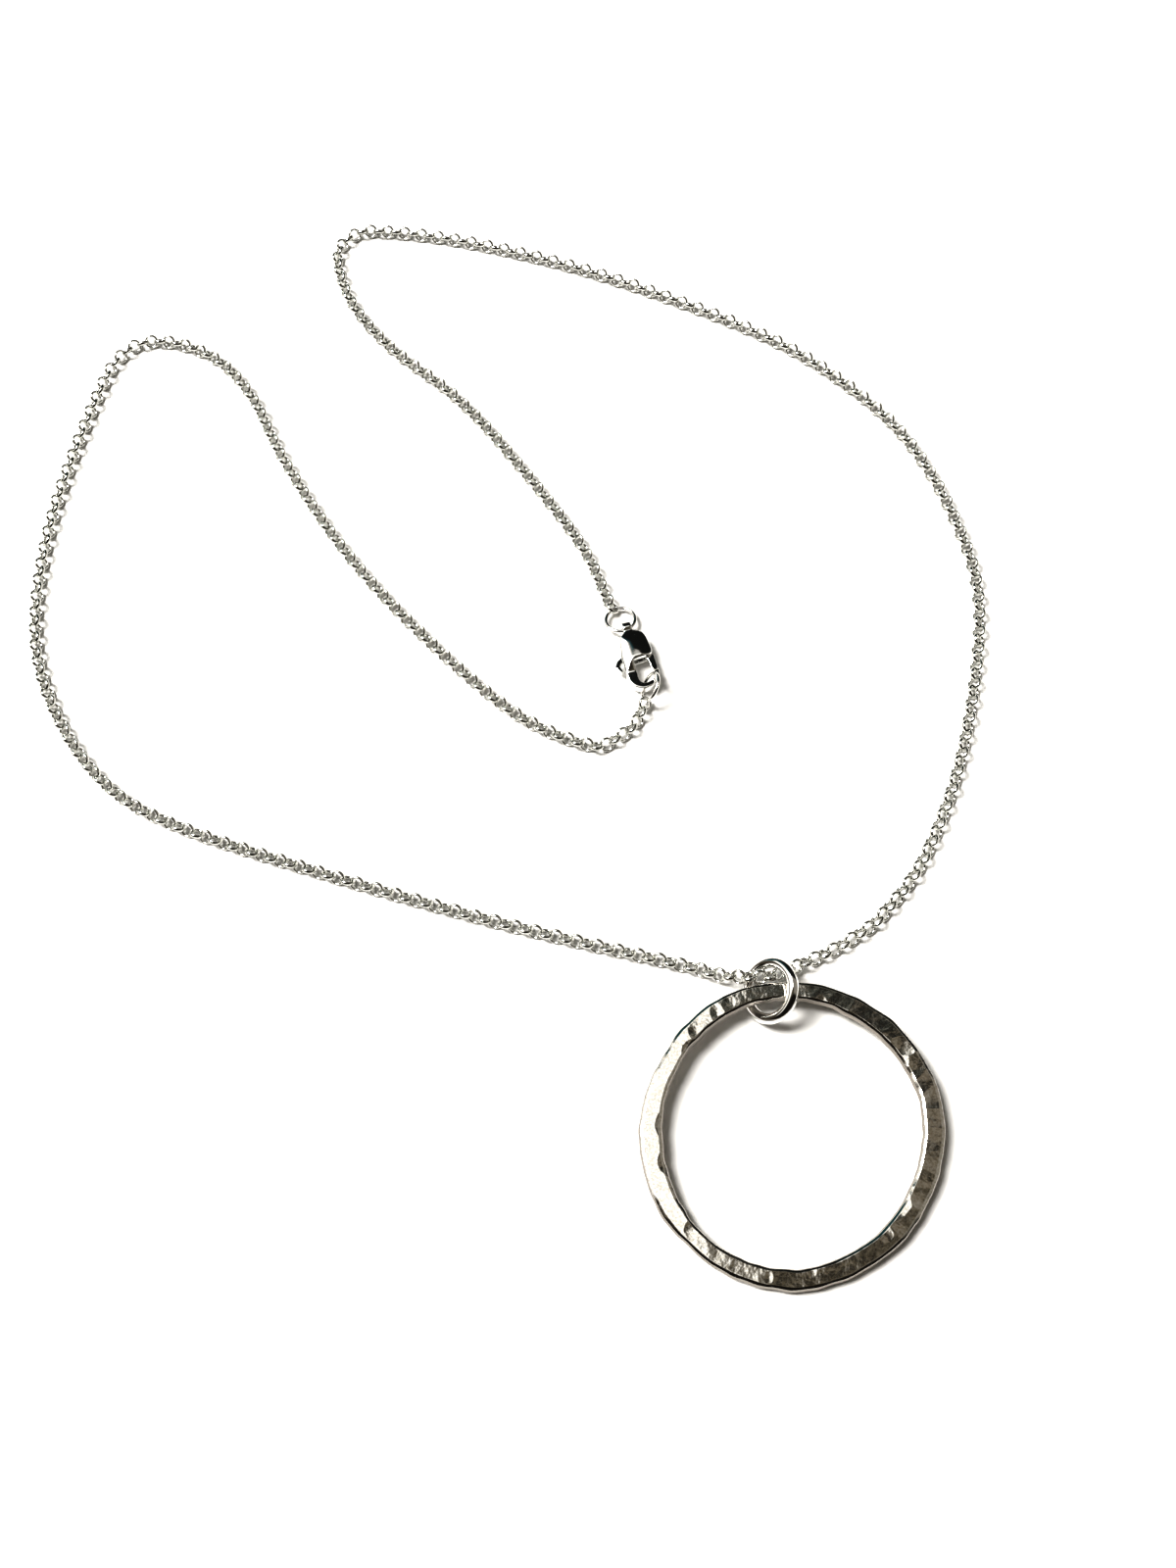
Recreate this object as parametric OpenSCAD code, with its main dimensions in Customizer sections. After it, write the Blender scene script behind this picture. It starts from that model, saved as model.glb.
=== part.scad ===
// Hammered open-ring pendant on a fine rolo chain, closed by a lobster clasp.
// The necklace lies on a flat surface, z is up and the surface is z = 0.
// Lengths are millimetres and angles are degrees.

/* [Pendant ring] */
// Outside diameter of the hammered ring
ring_d = 32; // [29:0.5:35]
// Usual width of the ring's face
ring_w = 2.25; // [2:0.05:2.4]
// Usual thickness of the ring
ring_t = 1.6; // [1.4:0.05:1.7]
// Squareness of the ring's section, where 2 is an ellipse
ring_square = 3; // [2:0.25:5]

/* [Bail] */
// Outside diameter of the bail
bail_d = 7.35; // [7.25:0.05:7.6]
// Wire of the bail
bail_wire = 1.25; // [1:0.05:1.3]
// Lean of the bail away from the surface
bail_lean = 41; // [39:1:44]
// Saw cut that closes the bail
bail_cut = 0.08; // [0.04:0.01:0.12]

/* [Chain] */
// Outside diameter of one link
link_d = 1.8; // [1.75:0.05:1.9]
// Wire of one link
link_wire = 0.3; // [0.26:0.01:0.32]

/* [Jump rings] */
// Outside diameter of the two small jump rings
jump_d = 4; // [3.9:0.05:4.1]
// Wire of the two small jump rings
jump_wire = 0.46; // [0.4:0.01:0.48]

/* [Clasp] */
// Thickness of the clasp's shell, which lies on its flat side
clasp_t = 2.4; // [2.3:0.05:2.6]
// Thickness of the hook
hook_t = 1.2; // [1:0.05:1.25]
// Outside radius of the hook's bend
hook_r = 1.97; // [1.9:0.01:2.05]
// Width of the hook's spine
spine_w = 1.3; // [1.1:0.05:1.4]
// Width of the clasp's eye along its hole
eye_w = 1.1; // [0.9:0.05:1.2]
// Hole of the eye
eye_hole = 1.16; // [1.1:0.01:1.24]
// Wall of metal round the eye's hole
eye_wall = 0.35; // [0.3:0.01:0.4]
// Height of the slot that holds the lever
slot_h = 0.8; // [0.7:0.05:0.9]
// Clearance above and below the lever in its slot
lever_gap = 0.07; // [0.05:0.01:0.1]
// Half width of the gate at its nose
nose_r = 0.36; // [0.3:0.01:0.4]
// Diameter of the lever's pin
pin_d = 0.6; // [0.5:0.02:0.7]
// Clearance of the pin in the lever, on the diameter
pin_gap = 0.08; // [0.06:0.01:0.1]

/* [Hidden] */
silver = [0.80, 0.80, 0.79];
bright_silver = [0.88, 0.88, 0.87];
dark_silver = [0.55, 0.56, 0.56];
round_fn = 64;
edge_fn = 32;
// Gap between neighbours that nearly touch
near_gap = 0.06;

// Places on the surface: the bail's centre, and the end of the clasp's hook
bail_at = [30.6, -39.9];
clasp_at = [17.73, -2.11];
// Turns about z: the bail's raised side, and the clasp from the +Y direction
bail_turn = 11;
clasp_turn = 14.5;
// Place of the saw cut round the bail, from its raised side
bail_cut_angle = 122;

// Directions from the pendant ring's centre: to the bail, and to its highest side
hang_angle = 96;
lift_angle = 105;
// Radius of the ring's middle line, how far the bail's centre lies outside that line,
// and how far the bail's wire lifts the ring
ring_mid_r = (ring_d - ring_w) / 2;
hang_out = 0.26;
lift_gap = 0.2;
ring_lift = bail_wire + lift_gap;
ring_tilt = asin(ring_lift / (2 * ring_mid_r));
ring_at = bail_at - (ring_mid_r + hang_out) * [cos(hang_angle), sin(hang_angle)];

// Hammered form of the ring, one row for every 15 degrees from +X:
// [outer radius share, width share, thickness share, rise of the face across it]
HAMMER = [
    [1.000, 1.04, 0.98, 0.06], [1.015, 1.04, 1.00, -0.04], [1.015, 1.06, 0.94, -0.08],
    [1.020, 1.09, 0.97, 0.05], [1.010, 1.02, 0.98, 0.03], [1.010, 0.92, 1.02, -0.06],
    [1.000, 0.88, 1.00, 0.02], [1.000, 0.88, 1.00, 0.04], [1.000, 0.98, 1.00, -0.05],
    [0.985, 0.94, 1.03, 0.06], [0.972, 0.90, 1.02, 0.05], [0.985, 0.99, 0.97, -0.07],
    [1.000, 1.12, 0.93, 0.04], [1.005, 1.11, 0.95, 0.08], [1.015, 1.08, 0.96, -0.03],
    [1.010, 0.92, 1.04, 0.06], [1.018, 0.98, 1.00, -0.06], [1.014, 0.95, 1.03, 0.03],
    [1.016, 1.01, 0.97, 0.07], [0.995, 1.02, 0.96, -0.05], [0.980, 1.00, 1.01, 0.04],
    [0.980, 1.05, 0.98, -0.06], [0.976, 1.06, 0.95, 0.02], [0.985, 1.05, 1.00, 0.05]];
ring_steps = 120;
section_steps = 16;

// Links: middle radius, roll to either side, and the width of the chain that they make
link_r = (link_d - link_wire) / 2;
link_roll = 45;
chain_w = 2 * link_r * sin(link_roll) + link_wire;

// Jump rings at the clasp, in the clasp's own frame
jump_r = (jump_d - jump_wire) / 2;
// Clasp-end ring: its centre beyond the eye, its low side held up by a link
clasp_ring_at = [-0.4, 10.3];
clasp_ring_low = chain_w / 2;
clasp_ring_lean = 8;
// Catch ring: its centre near the hook's bend, its lean and the turn of its high side
catch_ring_at = [0.5, -0.05];
catch_ring_lean = 58;
catch_ring_turn = -20;

// Clasp: x across the clasp, y from the hook's end towards the eye
mid_z = clasp_t / 2;
hook_x = 0.2;
eye_at = [-0.03, 8.65];
pivot = [0.5, 5.5];
spine_inner_x = hook_x - hook_r + spine_w;
clasp_len = eye_at.y + eye_hole / 2 + eye_wall;
// Side of the shell: [share of the clasp's length, share of its half thickness]
SIDE = [[0.44, 0.95], [0.55, 1], [0.67, 0.97], [0.77, 0.77], [0.87, 0.58], [1.1, 0.54]];
end_face_y = 3.85;
tip_inner_x = 1.45;
bend_w = 0.72;
// Round corners of the hook's hollow: at the spine, and at the tip
spine_corner_r = 0.75;
tip_corner_r = 0.6;
nose_at = [1.75, 2.5];
lever_t = slot_h - 2 * lever_gap;
// Reach of the gate's nose from the pivot, and the hollow that clears it at the hook's tip
nose_reach = norm(nose_at - pivot) + nose_r;
tip_gap = 0.08;
crown_r = 3.1;
crown_fn = 128;
boss_r = 0.6;
boss_gap = 0.2;
// Rivet: its clearance in the shell's holes, and how far its ends lie inside the shell
pin_fit = 0.01;
pin_sink = 0.03;
// Widest round of the shell, the round beside the gate, and the spine's middle
shell_round_at = [0.2, 6.3];
shell_round_r = 1.72;
gate_round_at = [1.2, 5];
gate_round_r = 0.9;
// Lever: its shoulder, the root of its thumb tab, the tab's bend and the tab's tip
shoulder_at = [1.68, 4.05];
shoulder_r = 0.42;
tab_root_at = [-2.12, 4.32];
tab_root_r = 0.3;
tab_bend_at = [-2.5, 3.75];
tab_bend_r = 0.26;
tab_tip_at = [-2.18, 3.1];
tab_tip_r = 0.2;
// Slot: its reach past the end face, and the room round the tab where it leaves the shell
slot_reach = 1;
tab_room = 0.42;

// Links at the chain's two ends: direction away from their jump ring and pitch
link_out = 0.27;
right_link_dir = 118;
left_link_dir = 245;
left_link_pitch = -8;
left_link_seat = -115;

// Route of the chain's middle line, clasp end first, by way of the bail: [x, y, rise].
// The rise is the height above where the chain rests.
ROUTE = [
    [9.5, 19.5, 0], [-0.5, 34.5, 0], [-7, 42.5, 0], [-15.5, 50.5, 0], [-21, 58, 0],
    [-23.5, 66, 0], [-21.5, 70, 0], [-17, 70.5, 0], [-5, 68, 0], [12, 62, 0],
    [31, 52.5, 0], [42, 44.5, 0], [51, 34, 0], [56.5, 20.5, 0], [58, 8, 0],
    [54.5, -10, 0], [49, -23.5, 0], [43.5, -30.8, 0], [41, -32.8, 0], [38.5, -34.4, 0],
    [36.3, -35.5, 0.1], [34.6, -36.3, 0.35], [33.2, -37, 0.75], [31.8, -37.7, 1.25],
    [30.4, -38.3, 1.8], [28.9, -38.4, 2.15], [27.2, -38.2, 1.65], [25.5, -37.7, 0.7],
    [23.5, -37, 0.15], [21, -36.2, 0], [1, -31, 0],
    [-20, -24.5, 0], [-38, -18, 0], [-47, -12, 0], [-54, -2, 0], [-57.5, 9, 0],
    [-57.5, 25, 0], [-54, 44, 0], [-51, 51, 0], [-46, 52.5, 0], [-39, 49.5, 0],
    [-33.5, 43, 0], [-28, 32, 0], [-19.5, 18.5, 0], [-9.5, 6.5, 0], [2, -4.5, 0],
    [11, -9, 0], [14.4, -8, 0], [16.3, -6.4, 0.05]];
// Rings and sides of the tube that stands for the links
tube_rings = 80;
tube_sides = 8;

// Point that a clasp-frame place [x, y] has on the surface
function clasp_point(p) = clasp_at + [
    cos(clasp_turn) * p.x - sin(clasp_turn) * p.y,
    sin(clasp_turn) * p.x + cos(clasp_turn) * p.y];

// Unit vector from its direction about z and its pitch
function heading(dir, pitch) = [cos(dir) * cos(pitch), sin(dir) * cos(pitch), sin(pitch)];

// Point at angle a of a leaning ring of middle radius r, from its high side
function lean_point(at, r, low, lean, turn, a) =
    [at.x, at.y, low + r * sin(lean)]
    + r * cos(a) * heading(turn, lean)
    + r * sin(a) * heading(turn + 90, 0);

// Centres of the two end links, and where the chain starts and stops beyond them
clasp_ring_xy = clasp_point(clasp_ring_at);
catch_ring_xy = clasp_point(catch_ring_at);
right_dir = heading(right_link_dir, 0);
left_dir = heading(left_link_dir, left_link_pitch);
right_link_at = [clasp_ring_xy.x, clasp_ring_xy.y, clasp_ring_low]
    + (jump_r + link_out) * right_dir;
left_link_at = lean_point(catch_ring_xy, jump_r, jump_wire / 2, catch_ring_lean,
    clasp_turn + catch_ring_turn, left_link_seat) + link_out * left_dir;
chain_start = right_link_at + (link_d / 2 + near_gap) * right_dir;
chain_stop = left_link_at + (link_d / 2 + near_gap) * left_dir;
LINE = concat([chain_start], [for (p = ROUTE) [p.x, p.y, chain_w / 2 + p.z]], [chain_stop]);

// Smooth curve through the points p at u, where whole numbers are the points themselves
function spline(p, u) =
    let (
        i = max(0, min(floor(u), len(p) - 2)),
        s = u - i,
        b = p[i],
        c = p[i + 1],
        a = i > 0 ? p[i - 1] : 2 * b - c,
        d = i < len(p) - 2 ? p[i + 2] : 2 * c - b)
    0.5 * (2 * b + (c - a) * s + (2 * a - 5 * b + 4 * c - d) * s * s
        + (3 * b - a - 3 * c + d) * s * s * s);

// Point of the chain's middle line, never lower than where the chain rests
function line_point(u) =
    let (p = spline(LINE, u))
    [p.x, p.y, max(p.z, chain_w / 2)];

function unit(v) = v / norm(v);

// Place of tube ring n along the curve
function tube_u(n) = n * (len(LINE) - 1) / (tube_rings - 1);

// Ring of the tube where its two halves meet, the one nearest to the bail's centre
TO_BAIL = [for (n = [0:tube_rings - 1])
    norm([line_point(tube_u(n)).x - bail_at.x, line_point(tube_u(n)).y - bail_at.y])];
tube_meet = search(min(TO_BAIL), TO_BAIL)[0];

// Corner k of tube ring n, with flats at the top and bottom
function tube_corner(n, k) =
    let (
        u = tube_u(n),
        along = unit(line_point(u + 0.02) - line_point(u - 0.02)),
        side = unit(cross(along, [0, 0, 1])),
        up = cross(side, along),
        a = (k + 0.5) * 360 / tube_sides,
        r = chain_w / 2 / cos(180 / tube_sides))
    line_point(u) + r * (cos(a) * side + sin(a) * up);

// Faces of a tube of n rings with m corners each, closed at both ends
function tube_faces(n, m) = concat(
    [[for (k = [m - 1:-1:0]) k]],
    [for (i = [0:n - 2]) for (k = [0:m - 1])
        [i * m + k, i * m + (k + 1) % m, (i + 1) * m + (k + 1) % m, (i + 1) * m + k]],
    [[for (k = [0:m - 1]) (n - 1) * m + k]]);

// Value of one column of the hammered table at angle a, eased between its rows
function hammer(a, column) =
    let (
        rows = len(HAMMER),
        u = a / 360 * rows,
        i = floor(u),
        s = (1 - cos(180 * (u - i))) / 2)
    HAMMER[i % rows][column] * (1 - s) + HAMMER[(i + 1) % rows][column] * s;

function round_power(v) = sign(v) * pow(abs(v), 2 / ring_square);

// Corner k of the ring's section at angle a, before the ring is tilted
function ring_corner(a, k) =
    let (
        b = k * 360 / section_steps,
        w = ring_w * hammer(a, 1),
        t = ring_t * hammer(a, 2),
        x = w / 2 * round_power(cos(b)),
        r = ring_d / 2 * hammer(a, 0) - w / 2 + x,
        z = t / 2 * (1 + round_power(sin(b))) + max(0, sin(b)) * hammer(a, 3) * x)
    [r * cos(a), r * sin(a), z];

// The same corner tilted, so that the side at lift_angle is raised
function tilted_corner(p) =
    let (
        along = p.x * cos(lift_angle) + p.y * sin(lift_angle),
        across = p.y * cos(lift_angle) - p.x * sin(lift_angle),
        reach = along * cos(ring_tilt) - p.z * sin(ring_tilt))
    [reach * cos(lift_angle) - across * sin(lift_angle),
        reach * sin(lift_angle) + across * cos(lift_angle),
        along * sin(ring_tilt) + p.z * cos(ring_tilt)];

RING_POINTS = [for (i = [0:ring_steps - 1]) for (k = [0:section_steps - 1])
    tilted_corner(ring_corner(i * 360 / ring_steps, k))];
ring_low = min([for (p = RING_POINTS) p.z]);

// Hammered ring, its lowest edge on the surface and its far side over the bail's wire
module pendant_ring() {
    m = section_steps;
    n = ring_steps;
    color(silver)
        translate([ring_at.x, ring_at.y, -ring_low])
            polyhedron(RING_POINTS, [for (i = [0:n - 1]) for (k = [0:m - 1])
                [i * m + k, i * m + (k + 1) % m,
                    ((i + 1) % n) * m + (k + 1) % m, ((i + 1) % n) * m + k]]);
}

// Plain wire ring of outside diameter d that leans, its low side's wire at height low
module wire_ring(d, wire) {
    rotate_extrude($fn = round_fn)
        translate([(d - wire) / 2, 0])
            circle(d = wire, $fn = edge_fn);
}

module leaning(at, r, low, lean, turn) {
    translate([at.x, at.y, low + r * sin(lean)])
        rotate([0, -lean, turn])
            children();
}

// Jump ring that carries the pendant, with its saw cut
module bail() {
    color(bright_silver)
        leaning(bail_at, (bail_d - bail_wire) / 2, bail_wire / 2, bail_lean, bail_turn)
            difference() {
                wire_ring(bail_d, bail_wire);
                rotate([0, 0, bail_cut_angle])
                    translate([0, -bail_cut / 2, -bail_wire])
                        cube([bail_d, bail_cut, 2 * bail_wire]);
            }
}

// Length of the chain between two rings of its tube
module chain(first, last) {
    color(silver)
        polyhedron(
            [for (n = [first:last]) for (k = [0:tube_sides - 1]) tube_corner(n, k)],
            tube_faces(last - first + 1, tube_sides));
}

// Chain from the clasp's end round to the bail
module chain_right() {
    chain(0, tube_meet);
}

// Chain from the bail round to the catch ring
module chain_left() {
    chain(tube_meet, tube_rings - 1);
}

// Single link that passes through a jump ring
module end_link(at, dir, pitch, roll) {
    color(silver)
        translate(at)
            rotate([0, -pitch, dir])
                rotate([roll, 0, 0])
                    wire_ring(link_d, link_wire);
}

module end_link_right() {
    end_link(right_link_at, right_link_dir, 0, link_roll);
}

module end_link_left() {
    end_link(left_link_at, left_link_dir, left_link_pitch, -link_roll);
}

// Jump ring in the clasp's eye
module clasp_ring() {
    color(bright_silver)
        leaning(clasp_ring_xy, jump_r, clasp_ring_low, clasp_ring_lean, clasp_turn - 90)
            wire_ring(jump_d, jump_wire);
}

// Jump ring that the hook holds, its low side under the hook and its high side over it
module catch_ring() {
    color(bright_silver)
        leaning(catch_ring_xy, jump_r, jump_wire / 2, catch_ring_lean,
            clasp_turn + catch_ring_turn)
            wire_ring(jump_d, jump_wire);
}

module in_clasp() {
    translate([clasp_at.x, clasp_at.y, mid_z])
        rotate([0, 0, clasp_turn])
            children();
}

// Outline of the clasp from above: the shell's half and the hook's half
module shell_outline() {
    hull() {
        translate([eye_at.x, eye_at.y - eye_hole / 2 - eye_wall])
            circle(r = eye_w / 2, $fn = edge_fn);
        translate(shell_round_at)
            circle(r = shell_round_r, $fn = edge_fn);
        translate(gate_round_at)
            circle(r = gate_round_r, $fn = edge_fn);
        translate([hook_x - hook_r + spine_w / 2, end_face_y + spine_w / 2])
            circle(r = spine_w / 2, $fn = edge_fn);
    }
}

module hook_outline() {
    difference() {
        union() {
            translate([hook_x, hook_r])
                circle(r = hook_r, $fn = round_fn);
            translate([hook_x - hook_r, hook_r])
                square([spine_w, end_face_y + spine_w - hook_r]);
        }
        hull() {
            translate([spine_inner_x + spine_corner_r, bend_w + spine_corner_r])
                circle(r = spine_corner_r, $fn = edge_fn);
            translate([tip_inner_x - tip_corner_r, bend_w + spine_corner_r])
                circle(r = tip_corner_r, $fn = edge_fn);
            translate([spine_inner_x, end_face_y])
                square([tip_inner_x - spine_inner_x, spine_w]);
        }
        intersection() {
            translate(pivot)
                circle(r = nose_reach + tip_gap, $fn = round_fn);
            translate([spine_inner_x, bend_w])
                square([2 * hook_r, 2 * hook_r]);
        }
    }
}

// Side view of the clasp: [distance from the hook's end, half thickness]
module side_outline() {
    profile = concat([[-hook_t, hook_t / 2], [end_face_y - hook_t, hook_t / 2]],
        [for (p = SIDE) [p[0] * clasp_len, p[1] * mid_z]]);
    polygon(concat(profile, [for (i = [len(profile) - 1:-1:0])
        [profile[i][0], -profile[i][1]]]));
}

// Room that the lever turns in, open at the end face and at the tab's side
module slot_outline() {
    hull() {
        translate(pivot)
            circle(r = boss_r + boss_gap, $fn = edge_fn);
        translate([spine_inner_x + near_gap, end_face_y - slot_reach])
            square([2 * hook_r, 1.4 * slot_reach]);
    }
    hull() {
        translate(pivot)
            circle(r = boss_r + boss_gap, $fn = edge_fn);
        translate([hook_x - hook_r - tab_room, tab_root_at.y])
            circle(r = tab_room, $fn = edge_fn);
        translate([hook_x - hook_r - tab_room, pivot.y])
            circle(r = tab_room, $fn = edge_fn);
    }
}

// Body of the lobster clasp: eye, crowned shell with its slot, spine and hook
module clasp_body() {
    color(dark_silver)
        in_clasp()
            difference() {
                union() {
                    intersection() {
                        translate([0, 0, -clasp_t])
                            linear_extrude(2 * clasp_t)
                                union() {
                                    shell_outline();
                                    hook_outline();
                                }
                        rotate([90, 0, 90])
                            translate([0, 0, -2 * hook_r])
                                linear_extrude(4 * hook_r)
                                    side_outline();
                        crown(mid_z - crown_r);
                        crown(crown_r - mid_z);
                    }
                    translate([eye_at.x - eye_w / 2, eye_at.y, 0])
                        rotate([0, 90, 0])
                            cylinder(d = eye_hole + 2 * eye_wall, h = eye_w, $fn = round_fn);
                }
                translate([eye_at.x - 2 * eye_w, eye_at.y, 0])
                    rotate([0, 90, 0])
                        cylinder(d = eye_hole, h = 4 * eye_w, $fn = round_fn);
                translate([0, 0, -slot_h / 2])
                    linear_extrude(slot_h)
                        slot_outline();
                translate([pivot.x, pivot.y, -clasp_t])
                    cylinder(d = pin_d + 2 * pin_fit, h = 2 * clasp_t, $fn = round_fn);
            }
}

// Round bar along the clasp, whose top or bottom is the shell's crown
module crown(z) {
    translate([hook_x, -hook_r, z])
        rotate([-90, 0, 0])
            cylinder(r = crown_r, h = clasp_len + 2 * hook_r, $fn = crown_fn);
}

// Lever: boss on the pin, gate on one side and thumb tab on the other
module clasp_lever() {
    color(bright_silver)
        in_clasp()
            difference() {
                translate([0, 0, -lever_t / 2])
                    linear_extrude(lever_t)
                        lever_outline();
                translate([pivot.x, pivot.y, -lever_t])
                    cylinder(d = pin_d + pin_gap, h = 2 * lever_t, $fn = round_fn);
            }
}

module round_bar(a, a_r, b, b_r) {
    hull() {
        translate(a)
            circle(r = a_r, $fn = edge_fn);
        translate(b)
            circle(r = b_r, $fn = edge_fn);
    }
}

module lever_outline() {
    round_bar(pivot, boss_r, shoulder_at, shoulder_r);
    round_bar(shoulder_at, shoulder_r, nose_at, nose_r);
    round_bar(pivot, boss_r, tab_root_at, tab_root_r);
    round_bar(tab_root_at, tab_root_r, tab_bend_at, tab_bend_r);
    round_bar(tab_bend_at, tab_bend_r, tab_tip_at, tab_tip_r);
}

// Rivet that the lever turns on, flush with the shell
module clasp_pin() {
    color(bright_silver)
        in_clasp()
            translate([pivot.x, pivot.y, -mid_z + pin_sink])
                cylinder(d = pin_d, h = clasp_t - 2 * pin_sink, $fn = round_fn);
}

pendant_ring();
bail();
chain_right();
chain_left();
end_link_right();
end_link_left();
clasp_ring();
catch_ring();
clasp_body();
clasp_lever();
clasp_pin();
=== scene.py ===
"""Hammered open-ring pendant on a fine rolo chain with a lobster clasp, lying on a pale surface.

The frame, the floor and the camera are in metres. All other sizes are millimetres and degrees,
as in the part's source, and MM turns them into metres.
"""
import math

import bmesh
import bpy
import numpy as np
from mathutils import Matrix, Vector, noise


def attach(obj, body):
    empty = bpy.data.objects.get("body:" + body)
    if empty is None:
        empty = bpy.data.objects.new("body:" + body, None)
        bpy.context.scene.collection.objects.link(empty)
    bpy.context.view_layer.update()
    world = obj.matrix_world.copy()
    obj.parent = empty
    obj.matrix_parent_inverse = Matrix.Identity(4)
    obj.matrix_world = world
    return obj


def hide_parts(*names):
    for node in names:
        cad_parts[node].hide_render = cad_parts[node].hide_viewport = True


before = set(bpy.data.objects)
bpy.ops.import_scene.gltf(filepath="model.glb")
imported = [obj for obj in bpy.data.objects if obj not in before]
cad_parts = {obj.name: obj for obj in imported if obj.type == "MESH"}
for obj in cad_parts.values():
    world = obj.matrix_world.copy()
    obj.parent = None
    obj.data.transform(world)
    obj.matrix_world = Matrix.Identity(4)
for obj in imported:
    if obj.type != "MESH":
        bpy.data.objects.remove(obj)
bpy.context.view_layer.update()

MM = 0.001

# Sizes and places shared with the part's source
RING_D = 32.0
RING_W = 2.25
RING_T = 1.6
BAIL_D = 7.35
BAIL_WIRE = 1.25
BAIL_LEAN = 41.0
BAIL_CUT = 0.08
LINK_D = 1.8
LINK_WIRE = 0.3
JUMP_D = 4.0
JUMP_WIRE = 0.46
NEAR_GAP = 0.06
BAIL_AT = (30.6, -39.9)
CLASP_AT = (17.73, -2.11)
BAIL_TURN = 11.0
CLASP_TURN = 14.5
BAIL_CUT_ANGLE = 122.0
HANG_ANGLE = 96.0
LIFT_ANGLE = 105.0
RING_MID_R = (RING_D - RING_W) / 2
HANG_OUT = 0.26
LIFT_GAP = 0.2
RING_LIFT = BAIL_WIRE + LIFT_GAP
LINK_R = (LINK_D - LINK_WIRE) / 2
LINK_ROLL = 45.0
CHAIN_W = 2 * LINK_R * math.sin(math.radians(LINK_ROLL)) + LINK_WIRE
JUMP_R = (JUMP_D - JUMP_WIRE) / 2
CLASP_RING_AT = (-0.4, 10.3)
CLASP_RING_LEAN = 8.0
CATCH_RING_AT = (0.5, -0.05)
CATCH_RING_LEAN = 58.0
CATCH_RING_TURN = -20.0
LINK_OUT = 0.27
RIGHT_LINK_DIR = 118.0
LEFT_LINK_DIR = 245.0
LEFT_LINK_PITCH = -8.0
LEFT_LINK_SEAT = -115.0

# Hammered form of the ring, one row for every 15 degrees from +X. Its columns are the shares
# of the outer radius, of the width and of the thickness.
RADIUS, WIDTH, THICKNESS = range(3)
HAMMER = (
    (1.000, 1.04, 0.98), (1.015, 1.04, 1.00), (1.015, 1.06, 0.94), (1.020, 1.09, 0.97),
    (1.010, 1.02, 0.98), (1.010, 0.92, 1.02), (1.000, 0.88, 1.00), (1.000, 0.88, 1.00),
    (1.000, 0.98, 1.00), (0.985, 0.94, 1.03), (0.972, 0.90, 1.02), (0.985, 0.99, 0.97),
    (1.000, 1.12, 0.93), (1.005, 1.11, 0.95), (1.015, 1.08, 0.96), (1.010, 0.92, 1.04),
    (1.018, 0.98, 1.00), (1.014, 0.95, 1.03), (1.016, 1.01, 0.97), (0.995, 1.02, 0.96),
    (0.980, 1.00, 1.01), (0.980, 1.05, 0.98), (0.976, 1.06, 0.95), (0.985, 1.05, 1.00))

# Hammer blows on the ring's face: angle, place across it from -1 inside to 1 outside,
# lean along the ring and lean outwards in degrees, and roundness per millimetre
BLOWS = (
    (3, 0.2, 0.5, 0, 0.012), (9, -0.1, 2.5, 1, 0.03), (15, 0.1, -1, 1, 0.02),
    (20, 0.0, -0.5, 0, 0.015), (25, 0.1, 0.5, -1.5, 0.02), (31, -0.4, 0, -6, 0.03),
    (34, 0.35, 2, -2.5, 0.03), (41, -0.5, 0, -2.5, 0.015), (45, 0.35, -0.5, 0, 0.012),
    (50, -0.6, -0.5, 1.5, 0.015), (52, 0.3, 0.5, 0, 0.012), (59, -0.2, -1, 0.5, 0.014),
    (66, 0.1, 0.5, 0.5, 0.01), (73, -0.5, 2.5, -1, 0.05), (76, 0.2, -0.5, 0.5, 0.007),
    (84, 0.0, 0.5, 0, 0.005), (93, 0.1, 0, 0.5, 0.004), (101, 0.0, 0, 0, 0.003),
    (108, 0.1, 0, 0, 0.003), (114.5, -0.2, -2, 1, 0.05), (119.5, 0.2, 1.5, -1, 0.04),
    (125, 0.2, 0.5, 1, 0.006), (134.5, 0.0, -2.5, -1.5, 0.05), (138, 0.4, 0.5, 1, 0.01),
    (141.5, -0.5, -1, -4, 0.025), (147, 0.2, 0, 1, 0.006), (156, 0.1, 0.5, 1, 0.005),
    (165, 0.1, 0, 1, 0.005), (173, 0.3, 0.5, 1, 0.006), (177, -0.5, 0, -6, 0.025),
    (184, 0.2, -0.5, 1, 0.005), (193, 0.3, 0, 1, 0.006), (193.5, -0.5, 0.5, -5, 0.03),
    (202, 0.1, 0, 1, 0.006), (211, 0.1, 0, 1, 0.006), (218, 0.2, 0, 1, 0.006),
    (221, 0.0, 3, -1.5, 0.05), (229, 0.0, 0, 1, 0.006), (236, 0.1, 0, 0, 0.005),
    (243, 0.0, 0.5, 0, 0.003), (250, 0.1, 0, 0, 0.003), (257.5, 0.0, 2, 0, 0.08),
    (264, 0.1, 0.5, 0, 0.004), (271, 0.0, 0.5, 0, 0.004), (277, -0.3, -4, -2, 0.07),
    (283, 0.1, 0.5, 0, 0.004), (291, 0.0, 0, 0, 0.003), (299, 0.1, 0.5, 0, 0.004),
    (306, -0.1, 0, 0.5, 0.004), (311.5, 0.1, -2, -2, 0.04), (317, 0.2, 0.5, 0.5, 0.008),
    (325, -0.35, -1.5, -5, 0.02), (331, 0.3, 0.5, 0.5, 0.014), (339, 0.0, 0, 0, 0.012),
    (347, 0.1, -0.5, 0.5, 0.014), (355, 0.0, 0.5, 0, 0.012))

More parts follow.
